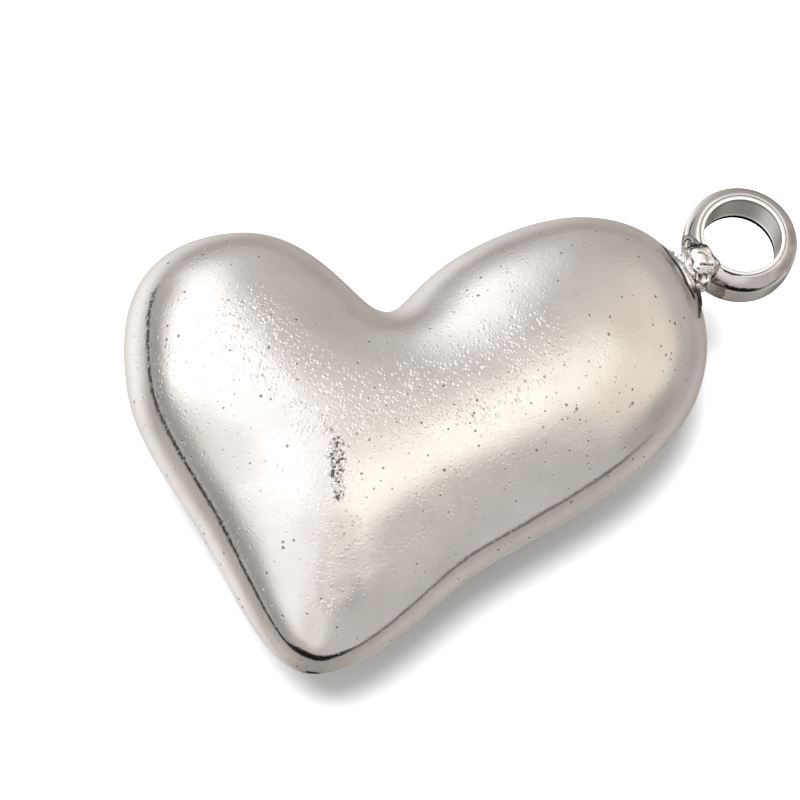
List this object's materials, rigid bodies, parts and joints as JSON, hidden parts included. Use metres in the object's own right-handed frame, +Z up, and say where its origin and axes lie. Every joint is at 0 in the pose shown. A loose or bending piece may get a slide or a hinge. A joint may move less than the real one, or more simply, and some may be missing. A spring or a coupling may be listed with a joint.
{
  "type": "heart pendant",
  "caption": "Puffed, lopsided heart pendant in satin-polished steel, with a small round hanging ring welded to the edge of its larger lobe, so that it hangs askew from a chain or cord.",
  "frame": {"origin": "below the middle of the pendant's box, on the surface that it lies on", "axes": "+Z up through the thickness, +X towards the lobe with the ring, +Y from the tip towards the notch"},
  "size_m": [0.0248, 0.0222, 0.007],
  "materials": {
    "polished_steel": "satin polish, finely pitted",
    "ring_steel": "satin, with a bright bevel around the hole",
    "weld_metal": "bright, as frozen, with brown heat tint"
  },
  "bodies": {
    "root": {"heart_body": "polished_steel", "hanging_ring": "ring_steel", "weld_bead": "weld_metal"}
  },
  "joints": []
}
